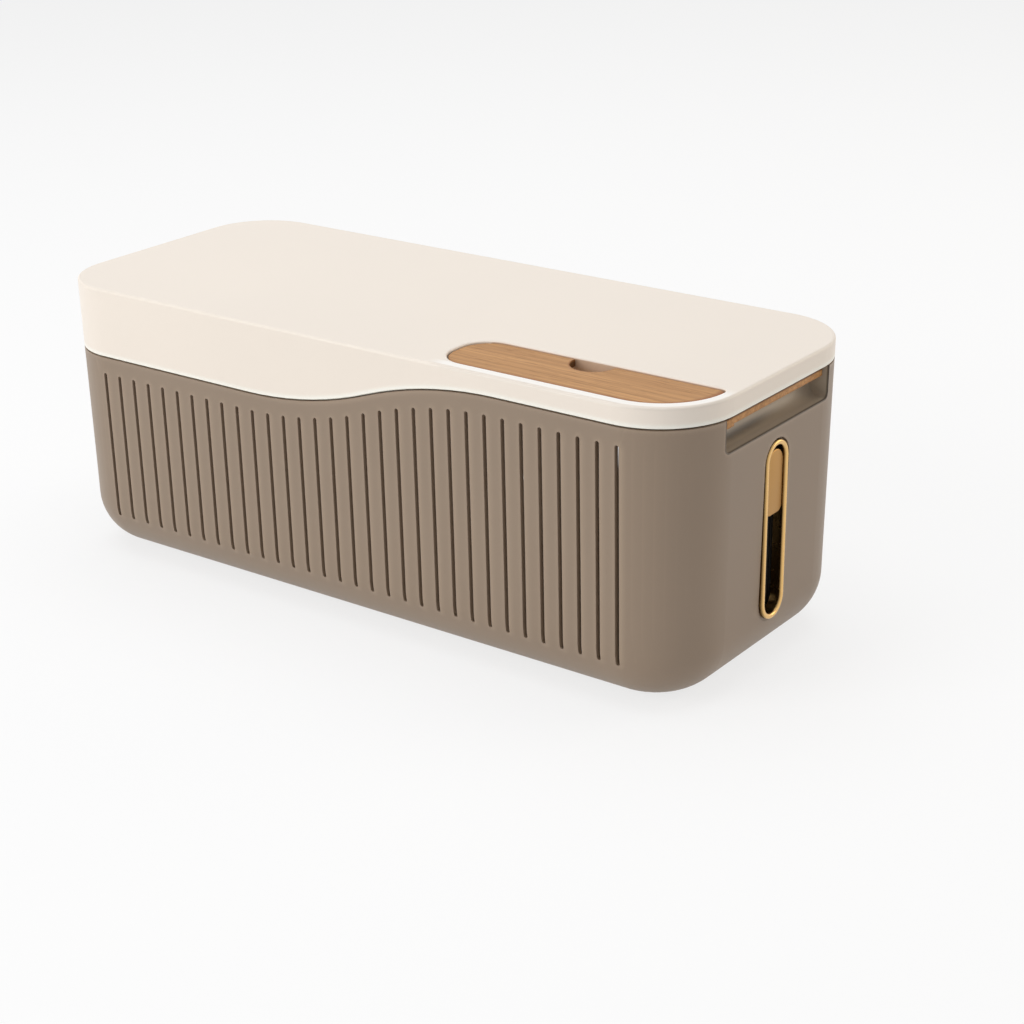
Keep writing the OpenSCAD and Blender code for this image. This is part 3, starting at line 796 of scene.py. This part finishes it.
@dataclass(frozen=True)
class Rubber:
    """Dull moulded rubber with a coarse skin and a little dust.

    Attributes:
        name: The material's name.
        colour: Its linear colour.
        dust: Linear colour of the dust.
        dust_scale: Cells per metre of the dust.
        dust_span: Noise between which the dust runs from none to full.
        dust_share: How strongly it shows there.
        roughness: The skin's mean roughness.
        skin_scale: Cells per metre of the skin.
        skin_gloss: How far the skin moves the roughness.
        skin_depth: Depth of the skin.
    """

    name: str
    colour: Colour
    dust: Colour
    dust_scale: float = 130.0
    dust_span: Span = (0.45, 0.8)
    dust_share: float = 0.5
    roughness: float = 0.78
    skin_scale: float = 900.0
    skin_gloss: float = 0.2
    skin_depth: float = 0.06 * MILLIMETRE

    def make(self) -> bpy.types.Material:
        """Returns the material."""
        material = bpy.data.materials.new(self.name)
        paint = Paint(material)
        where = paint.place()
        dust_and_shade_mask = paint.noise(where, self.dust_scale, detail=4).ramp(*self.dust_span)
        skin = paint.noise(where, self.skin_scale)
        paint.surface(
            Base_Color=paint.blend(dust_and_shade_mask * self.dust_share, self.colour, self.dust),
            Roughness=self.roughness + (skin - NOISE_MEAN) * self.skin_gloss,
            Normal=paint.relief(skin, self.skin_depth),
        )
        return material


class Finishes:
    """Every finish of the box, made once."""

    def __init__(self) -> None:
        """Makes the materials."""
        oak = {
            "pale": srgb(204, 153, 99),
            "dark": srgb(168, 120, 70),
            "pore": srgb(132, 90, 54),
            "edge": srgb(148, 91, 46),
        }
        cream = srgb(242, 231, 218)
        self.taupe = BinPlastic(
            "taupe_plastic",
            srgb(145, 126, 107),
            roughness=0.44,
            rub=0.2,
            edge_radius=0.5 * MILLIMETRE,
            wear_reach=4 * MILLIMETRE,
            dust=srgb(44, 36, 28),
            handled=srgb(182, 169, 151),
            grime=srgb(88, 79, 68),
        ).make()
        self.lid_cream = LidPlastic(
            "lid_cream_plastic",
            cream,
            roughness=0.38,
            drift=0.012,
            rub=-0.02,
            edge_radius=0.35 * MILLIMETRE,
            wear_reach=3.2 * MILLIMETRE,
            bead=srgb(254, 250, 244),
            pocket=srgb(212, 181, 154),
        ).make()
        self.tray_cream = TrayPlastic(
            "tray_cream_plastic", cream, roughness=0.4, drift=0.012, dust=srgb(206, 172, 140)
        ).make()
        self.black = MouldedPlastic(
            "black_plastic", srgb(38, 35, 33), roughness=0.5, drift=0.08, rub=0.5
        ).make()
        self.cover_oak = CoverFoil("cover_oak", **oak).make()
        self.strip_oak = StripFoil("strip_oak", **oak, grain=Grain.ALONG_Y).make()
        self.gold = PlatedMetal(
            "gold_plating", srgb(226, 184, 120), roughness=0.26, flank=0.35
        ).make()
        self.satin_gold = PlatedMetal(
            "satin_gold", srgb(180, 138, 82), roughness=0.42, hairline=0.6, flank=0.75
        ).make()
        self.zinc = PlatedMetal("zinc_plating", srgb(188, 190, 193), roughness=0.34).make()
        self.rubber = Rubber("foot_rubber", srgb(40, 38, 36), srgb(92, 86, 80)).make()


def dress(node: str, finish: bpy.types.Material) -> None:
    """Gives a carried-over node its finish.

    Args:
        node: The node's name.
        finish: Its material.
    """
    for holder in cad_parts[node].material_slots:
        holder.material = finish
    LOG.info("%s keeps its own shape, in %s", node, finish.name)


# ---- Modelling ----


class Pick(Enum):
    """What a selection is made of."""

    CORNERS = "VERT"
    EDGES = "EDGE"
    FACES = "FACE"


class Workpiece:
    """A mesh in hand, open in edit mode: every tool acts on what pick() last selected."""

    def __init__(
        self,
        name: str,
        primitive: Callable[..., object],
        scale: Triple | Vector = (1, 1, 1),
        **sizes: object,
    ) -> None:
        """Starts from a primitive at its size and place.

        Args:
            name: The piece's name.
            primitive: The operator that adds it.
            scale: Its lengths along its own axes, for a primitive of size 1.
            sizes: The operator's sizes and place.
        """
        bpy.ops.object.select_all(action="DESELECT")
        primitive(**sizes)
        self.piece = bpy.context.active_object
        self.piece.scale = scale
        self.piece.name = self.piece.data.name = name
        bpy.ops.object.transform_apply(location=True, rotation=True, scale=True)
        bpy.ops.object.mode_set(mode="EDIT")

    def pick(self, kind: Pick, test: Callable[[Vector], bool]) -> None:
        """Selects the elements whose every corner passes a test.

        Args:
            kind: Corners, edges or faces.
            test: Says of a place whether it belongs.
        """
        bpy.ops.mesh.select_mode(type=kind.value)
        bpy.ops.mesh.select_all(action="DESELECT")
        mesh = bmesh.from_edit_mesh(self.piece.data)
        lists = {Pick.CORNERS: mesh.verts, Pick.EDGES: mesh.edges, Pick.FACES: mesh.faces}
        for element in lists[kind]:
            corners = [element] if kind is Pick.CORNERS else element.verts
            element.select_set(all(test(corner.co) for corner in corners))
        mesh.select_flush_mode()
        bmesh.update_edit_mesh(self.piece.data)

    def pick_all(self) -> None:
        """Selects the whole mesh."""
        bpy.ops.mesh.select_all(action="SELECT")

    def cut(self, place: Triple, normal: Triple) -> None:
        """Cuts the whole mesh along a plane."""
        self.pick_all()
        bpy.ops.mesh.bisect(plane_co=place, plane_no=normal)

    def bevel(self, width: float, segments: int, corners: bool = False) -> None:
        """Rounds the picked edges, or the picked corners of a flat face, in a few segments."""
        affect = "VERTICES" if corners else "EDGES"
        bpy.ops.mesh.bevel(offset=width, segments=segments, affect=affect, clamp_overlap=False)

    def push(self, x: float = 0, y: float = 0, z: float = 0, edges: bool = False) -> None:
        """Extrudes what is picked.

        Args:
            x: Way along X.
            y: Way along Y.
            z: Way along Z.
            edges: Whether loose edges are drawn out and not faces.
        """
        move = {"value": (x, y, z)}
        if edges:
            bpy.ops.mesh.extrude_edges_move(TRANSFORM_OT_translate=move)
        else:
            bpy.ops.mesh.extrude_region_move(TRANSFORM_OT_translate=move)

    def done(
        self, replaced: Iterable[str], body: str, finish: bpy.types.Material
    ) -> None:
        """Closes the piece and puts it in place of its nodes.

        Args:
            replaced: The nodes that it stands for.
            body: The body that it rides on.
            finish: Its material.
        """
        self.pick_all()
        bpy.ops.mesh.remove_doubles(threshold=MERGE_DISTANCE)
        bpy.ops.mesh.normals_make_consistent(inside=False)
        bpy.ops.object.mode_set(mode="OBJECT")
        bpy.ops.object.shade_smooth_by_angle(angle=SMOOTH_ANGLE)
        self.piece.data.materials.append(finish)
        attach(self.piece, body)
        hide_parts(*replaced)
        faces = len(self.piece.data.polygons)
        LOG.info("%s stands for %s: %d faces, on %s", self.piece.name, replaced, faces, body)


def near(value: float, target: float) -> bool:
    """Says whether a coordinate lies at a target."""
    return abs(value - target) < TOLERANCE


class End(Enum):
    """The two end walls, with the sign of their side along X."""

    RIGHT = 1
    LEFT = -1

    @property
    def label(self) -> str:
        """The end's name, as the nodes have it."""
        return self.name.lower()


@dataclass
class CableSlot:
    """One end's cable slot: bezel, sliding shutter, its carrier, guide and screws.

    Attributes:
        end: The end wall it sits in.
        finishes: The box's finishes.
        flange_thickness: Thickness of the bezel's flange.
        tube_wall: Wall thickness of the bezel's tube.
        slide_clearance: Clearance between the shutter and the bezel's opening.
        outer_crown: Rounding of the rim's outer edge.
        inner_crown: Rounding of the rim's inner edge.
        shutter_ease: Rounding of the shutter's front edges.
        shutter_corner: Rounding of its two lower corners.
        peg_radius: Radius of the shutter's two pegs.
        peg_sides: Sides of a peg.
        hole_slack: How far from the middle a hole's top may lie, as a share of that radius.
        arc_steps: Steps of a half circle.
        crown_steps: Steps of the rim's rounding.
        corner_steps: Steps of the shutter's lower corners.
        ease_steps: Steps of its front edges' rounding.
    """

    end: End
    finishes: Finishes
    flange_thickness: float = 1.8 * MILLIMETRE
    tube_wall: float = 1.5 * MILLIMETRE
    slide_clearance: float = 0.3 * MILLIMETRE
    outer_crown: float = 1.2 * MILLIMETRE
    inner_crown: float = 1.1 * MILLIMETRE
    shutter_ease: float = 0.6 * MILLIMETRE
    shutter_corner: float = 3 * MILLIMETRE
    peg_radius: float = 1.5 * MILLIMETRE
    peg_sides: int = 24
    hole_slack: float = 0.2
    arc_steps: int = 28
    crown_steps: int = 6
    corner_steps: int = 8
    ease_steps: int = 4

    def build(self) -> None:
        """Makes the group."""
        label = self.end.label
        self.bezel()
        self.shutter()
        dress(f"shutter_carrier_{label}", self.finishes.black)
        dress(f"shutter_guide_{label}", self.finishes.black)
        dress(f"guide_screws_{label}", self.finishes.zinc)

    def faces(self, node: str) -> tuple[float, float, Vector, Vector]:
        """The innermost and outermost X of a node, and its box.

        Args:
            node: The node's name.

        Returns:
            Inner X, outer X, lowest and highest corner.
        """
        low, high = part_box(node)
        inner, outer = sorted((low.x, high.x), key=abs)
        return inner, outer, low, high

    def bezel(self) -> None:
        """Draws the bezel's cross-section once and spins it round the slot."""
        node = f"slot_bezel_{self.end.label}"
        inner_x, front_x, low, high = self.faces(node)
        side = self.end.value
        radius = (high.y - low.y) / 2
        opening = self.faces(f"shutter_{self.end.label}")[3].y + self.slide_clearance
        seat_x = front_x - side * self.flange_thickness
        upper, lower = high.z - radius, low.z + radius
        work = Workpiece(
            f"crowned_bezel_{self.end.label}",
            bpy.ops.mesh.primitive_plane_add,
            size=1,
            location=((seat_x + front_x) / 2, (opening + radius) / 2, upper),
            scale=(self.flange_thickness, radius - opening, 1),
        )
        tube_y = opening + self.tube_wall
        work.cut((seat_x, tube_y, upper), (0, 1, 0))
        work.pick(Pick.EDGES, lambda p: near(p.x, seat_x) and p.y < tube_y + TOLERANCE)
        work.push(x=inner_x - seat_x, edges=True)
        work.pick_all()
        bpy.ops.mesh.dissolve_faces()
        work.pick(Pick.CORNERS, lambda p: near(p.x, front_x) and near(p.y, radius))
        work.bevel(self.outer_crown, self.crown_steps, corners=True)
        work.pick(Pick.CORNERS, lambda p: near(p.x, front_x) and near(p.y, opening))
        work.bevel(self.inner_crown, self.crown_steps, corners=True)
        work.pick_all()
        bpy.ops.mesh.delete(type="ONLY_FACE")
        work.pick_all()
        for centre, way in ((upper, lower - upper), (lower, upper - lower)):
            bpy.ops.mesh.spin(
                steps=self.arc_steps, angle=-math.pi, center=(0, 0, centre), axis=(1, 0, 0)
            )
            work.push(z=way, edges=True)
        work.done([node], "bin", self.finishes.gold)

    def shutter(self) -> None:
        """Cuts the shutter's plate, eases its front edges and adds its two pegs."""
        node = f"shutter_{self.end.label}"
        peg_x, face_x, low, high = self.faces(node)
        back_x = self.faces(f"shutter_carrier_{self.end.label}")[1]
        radius = (high.y - low.y) / 2
        work = Workpiece(
            f"eased_shutter_{self.end.label}",
            bpy.ops.mesh.primitive_plane_add,
            size=1,
            location=(face_x, 0, (low.z + high.z) / 2),
            rotation=(0, math.pi / 2, 0),
            scale=(high.z - low.z, 2 * radius, 1),
        )
        work.pick(Pick.CORNERS, lambda p: near(p.z, high.z))
        work.bevel(radius, self.arc_steps // 2, corners=True)
        work.pick(Pick.CORNERS, lambda p: near(p.z, low.z))
        work.bevel(self.shutter_corner, self.corner_steps, corners=True)
        work.pick_all()
        bpy.ops.mesh.remove_doubles(threshold=MERGE_DISTANCE)
        work.push(x=back_x - face_x)
        work.pick(Pick.EDGES, lambda p: near(p.x, face_x))
        work.bevel(self.shutter_ease, self.ease_steps)
        for height in self.peg_heights():
            bpy.ops.mesh.primitive_cylinder_add(
                vertices=self.peg_sides,
                radius=self.peg_radius,
                depth=abs(back_x - peg_x),
                location=((back_x + peg_x) / 2, 0, height),
                rotation=(0, math.pi / 2, 0),
            )
        work.done([node], f"shutter_{self.end.label}", self.finishes.satin_gold)

    def peg_heights(self) -> list[float]:
        """Reads the heights of the two pegs from the holes in the carrier.

        Returns:
            The lower and the upper height.
        """
        holes = [
            vertex.co.z
            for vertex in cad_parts[f"shutter_carrier_{self.end.label}"].data.vertices
            if abs(vertex.co.y) < self.peg_radius * self.hole_slack
        ]
        middle = (min(holes) + max(holes)) / 2
        return [
            sum(part) / len(part)
            for part in ([z for z in holes if z < middle], [z for z in holes if z > middle])
        ]


@dataclass
class Bin:
    """The lower shell and its four rubber feet.

    Attributes:
        finishes: The box's finishes.
        foot_sides: Sides of a foot.
        foot_ease: Rounding of a foot's lower edge.
        ease_steps: Steps of that rounding.
        ring_inset: Width of the flat ring that a foot stands on.
        ring_depth: Depth of the hollow inside that ring.
    """

    finishes: Finishes
    foot_sides: int = 64
    foot_ease: float = 0.5 * MILLIMETRE
    ease_steps: int = 4
    ring_inset: float = 2.2 * MILLIMETRE
    ring_depth: float = 0.5 * MILLIMETRE

    def build(self) -> None:
        """Makes the shell and its feet."""
        dress("bin", self.finishes.taupe)
        for row in ("front", "back"):
            for column in ("left", "right"):
                self.foot(f"{row}_{column}")

    def foot(self, corner: str) -> None:
        """Turns one foot: a disc with an eased edge and a hollow inside its standing ring.

        Args:
            corner: The corner's name, as the nodes have it.
        """
        node = f"foot_{corner}"
        low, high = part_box(node)
        middle = (low + high) / 2
        radius = (high.x - low.x) / 2
        work = Workpiece(
            f"turned_foot_{corner}",
            bpy.ops.mesh.primitive_cylinder_add,
            vertices=self.foot_sides,
            radius=radius,
            depth=high.z - low.z,
            location=middle,
        )
        work.pick(Pick.FACES, lambda p: near(p.z, low.z))
        bpy.ops.mesh.inset(thickness=self.ring_inset)
        bpy.ops.mesh.inset(thickness=self.ring_depth, depth=-self.ring_depth)
        rim = radius - self.foot_ease
        work.pick(
            Pick.EDGES,
            lambda p: near(p.z, low.z) and math.hypot(p.x - middle.x, p.y - middle.y) > rim,
        )
        work.bevel(self.foot_ease, self.ease_steps)
        work.done([node], "bin", self.finishes.rubber)


@dataclass
class Lid:
    """The lid with its tray, screws and grip strip.

    Attributes:
        finishes: The box's finishes.
        strip_ease: Rounding of the strip's edges.
        ease_steps: Steps of that rounding.
        rebate_height: Height of the rebate along the strip's upper front edge.
        rebate_depth: Depth of that rebate.
        step_length: Length of the deeper step at the strip's front end.
        step_drop: How far the step reaches below the strip.
    """

    finishes: Finishes
    strip_ease: float = 0.4 * MILLIMETRE
    ease_steps: int = 3
    rebate_height: float = 1.8 * MILLIMETRE
    rebate_depth: float = 2 * MILLIMETRE
    step_length: float = 9 * MILLIMETRE
    step_drop: float = 1 * MILLIMETRE

    def build(self) -> None:
        """Makes the group."""
        dress("lid", self.finishes.lid_cream)
        dress("cover_tray", self.finishes.tray_cream)
        dress("tray_screws", self.finishes.zinc)
        self.grip_strip()

    def grip_strip(self) -> None:
        """Planes the grip strip: a rebated bar with eased edges and a step at its front end."""
        low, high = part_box("grip_strip")
        step_y = low.y + self.step_length
        rebate_x = high.x - self.rebate_depth
        ledge = Vector((high.x, high.y, high.z - self.rebate_height))
        work = Workpiece(
            "rebated_grip_strip",
            bpy.ops.mesh.primitive_cube_add,
            size=1,
            location=(low + ledge) / 2,
            scale=ledge - low,
        )
        work.cut((rebate_x, 0, 0), (1, 0, 0))
        work.pick(Pick.FACES, lambda p: near(p.z, ledge.z) and p.x < rebate_x + TOLERANCE)
        work.push(z=self.rebate_height)
        work.cut((0, step_y, 0), (0, 1, 0))
        work.pick(Pick.FACES, lambda p: near(p.z, low.z) and p.y < step_y + TOLERANCE)
        work.push(z=-self.step_drop)
        work.pick_all()
        bpy.ops.mesh.normals_make_consistent(inside=False)
        bpy.ops.object.mode_set(mode="OBJECT")
        rounding = work.piece.modifiers.new("eased_edges", "BEVEL")
        rounding.width = self.strip_ease
        rounding.segments = self.ease_steps
        bpy.ops.object.modifier_apply(modifier=rounding.name)
        bpy.ops.object.mode_set(mode="EDIT")
        work.done(["grip_strip"], "lid", self.finishes.strip_oak)


@dataclass
class TopCover:
    """The wood-look cover in the lid.

    Attributes:
        finishes: The box's finishes.
    """

    finishes: Finishes

    def build(self) -> None:
        """Dresses the cover."""
        dress("top_cover", self.finishes.cover_oak)


# ---- Studio ----


@dataclass(frozen=True)
class Softbox:
    """A large soft lamp aimed at the box.

    Attributes:
        name: The lamp's name.
        place: Where it hangs.
        width: Its width and height.
        power: Its power.
        colour: Its linear colour.
        aim: The point it is turned to.
    """

    name: str
    place: Triple
    width: float
    power: float
    colour: Colour = WHITE
    aim: Triple = (0, 0, 0.07)

    def hang(self) -> None:
        """Hangs the lamp."""
        lamp = bpy.data.lights.new(self.name, "AREA")
        lamp.shape = "SQUARE"
        lamp.size = self.width
        lamp.energy = self.power
        lamp.color = self.colour
        holder = bpy.data.objects.new(self.name, lamp)
        bpy.context.scene.collection.objects.link(holder)
        way = Vector(self.aim) - Vector(self.place)
        holder.rotation_euler = way.to_track_quat("-Z", "Y").to_euler()
        holder.location = self.place
        LOG.info("%s hangs at %s", self.name, self.place)


@dataclass(frozen=True)
class Viewpoint:
    """The camera.

    Attributes:
        place: Where it stands.
        azimuth: Its turn about Z from looking along +Y, in degrees.
        elevation: How far it looks down, in degrees.
        roll: Its roll, in degrees.
        focal_pixels: Its focal length, in pixels of a square image.
        image_pixels: That image's width.
        sensor: Width of its sensor, in millimetres.
        nearest: Distance from which it sees.
        farthest: Distance up to which it does.
    """

    place: Triple = (0.5595, -0.7082, 0.3979)
    azimuth: float = 36.371
    elevation: float = 22.162
    roll: float = -0.728
    focal_pixels: float = 2154.0
    image_pixels: float = 1024.0
    sensor: float = 36.0
    nearest: float = 0.01
    farthest: float = 100.0

    def set_up(self) -> None:
        """Stands the camera up and makes it the scene's own."""
        azimuth, elevation = math.radians(self.azimuth), math.radians(self.elevation)
        forward = Vector(
            (
                -math.sin(azimuth) * math.cos(elevation),
                math.cos(azimuth) * math.cos(elevation),
                -math.sin(elevation),
            )
        )
        right = forward.cross(Vector((0, 0, 1))).normalized()
        up = right.cross(forward)
        turn = Matrix.Rotation(-math.radians(self.roll), 3, "Z")
        axes = Matrix((right, up, -forward)).transposed() @ turn.transposed()
        data = bpy.data.cameras.new("camera")
        data.sensor_width = self.sensor
        data.lens = self.focal_pixels / self.image_pixels * self.sensor
        data.clip_start = self.nearest
        data.clip_end = self.farthest
        camera = bpy.data.objects.new("camera", data)
        bpy.context.scene.collection.objects.link(camera)
        camera.matrix_world = Matrix.Translation(self.place) @ axes.to_4x4()
        bpy.context.scene.camera = camera


@dataclass
class Studio:
    """Floor, surroundings, lamps and camera.

    Attributes:
        floor_size: Width of the floor.
        floor_colour: Its linear colour.
        floor_glow: How much of the floor's look is plain white and not lit.
        ambient: Strength of the light from all round.
        softboxes: The lamps.
    """

    floor_size: float = 60.0
    floor_colour: Colour = (0.98, 0.98, 0.98)
    floor_glow: float = 0.75
    ambient: float = 0.38
    softboxes: tuple[Softbox, ...] = (
        Softbox("overhead_softbox", (-0.2, 0.1, 1.5), 1.6, 11.85, (0.95, 0.97, 1.0)),
        Softbox("front_left_softbox", (-0.9, -1.8, 0.8), 1.2, 18.3),
        Softbox("right_softbox", (1.2, 1.4, 0.6), 1.0, 6.7, (1.0, 0.84, 0.62)),
    )

    def build(self) -> None:
        """Sets the studio up."""
        scene = bpy.context.scene
        scene.view_settings.view_transform = "Standard"
        self.surroundings()
        self.floor()
        for softbox in self.softboxes:
            softbox.hang()
        Viewpoint().set_up()

    @staticmethod
    def seen(paint: Paint) -> Wire:
        """1 where the camera, a reflection or a clear part looks at the surroundings.

        Args:
            paint: The builder of the material or world.

        Returns:
            The mask.
        """
        rays = ("Is Camera Ray", "Is Glossy Ray", "Is Transmission Ray")
        camera, glossy, clear = (paint.add("ShaderNodeLightPath", output=ray) for ray in rays)
        return camera.larger(glossy).larger(clear)

    def surroundings(self) -> None:
        """A white world whose light on the box is weaker than it looks."""
        world = bpy.data.worlds.new("white_room")
        bpy.context.scene.world = world
        paint = Paint(world)
        lit = paint.add(
            "ShaderNodeBackground", None, {"Color": WHITE, "Strength": self.ambient}
        )
        shown = paint.add("ShaderNodeBackground", None, {"Color": WHITE, "Strength": 1.0})
        mixed = paint.add("ShaderNodeMixShader", None, {0: self.seen(paint), 1: lit, 2: shown})
        paint.add("ShaderNodeOutputWorld", None, {"Surface": mixed})

    def floor(self) -> None:
        """A white floor that keeps the box's shadow."""
        bpy.ops.object.select_all(action="DESELECT")
        bpy.ops.mesh.primitive_plane_add(size=self.floor_size)
        floor = bpy.context.active_object
        floor.name = "floor"
        material = bpy.data.materials.new("white_floor")
        paint = Paint(material)
        lit = paint.add("ShaderNodeBsdfDiffuse", None, {"Color": self.floor_colour})
        shown = paint.add("ShaderNodeEmission", None, {"Color": WHITE, "Strength": 1.0})
        share = self.seen(paint) * self.floor_glow
        mixed = paint.add("ShaderNodeMixShader", None, {0: share, 1: lit, 2: shown})
        paint.add("ShaderNodeOutputMaterial", None, {"Surface": mixed})
        floor.data.materials.append(material)


def main() -> None:
    """Builds the camera and studio, then each sub-assembly in order."""
    logging.basicConfig(level=logging.INFO, format="%(message)s")
    Studio().build()
    finishes = Finishes()
    Bin(finishes).build()
    for end in End:
        CableSlot(end, finishes).build()
    Lid(finishes).build()
    TopCover(finishes).build()


if __name__ == "__main__":
    main()
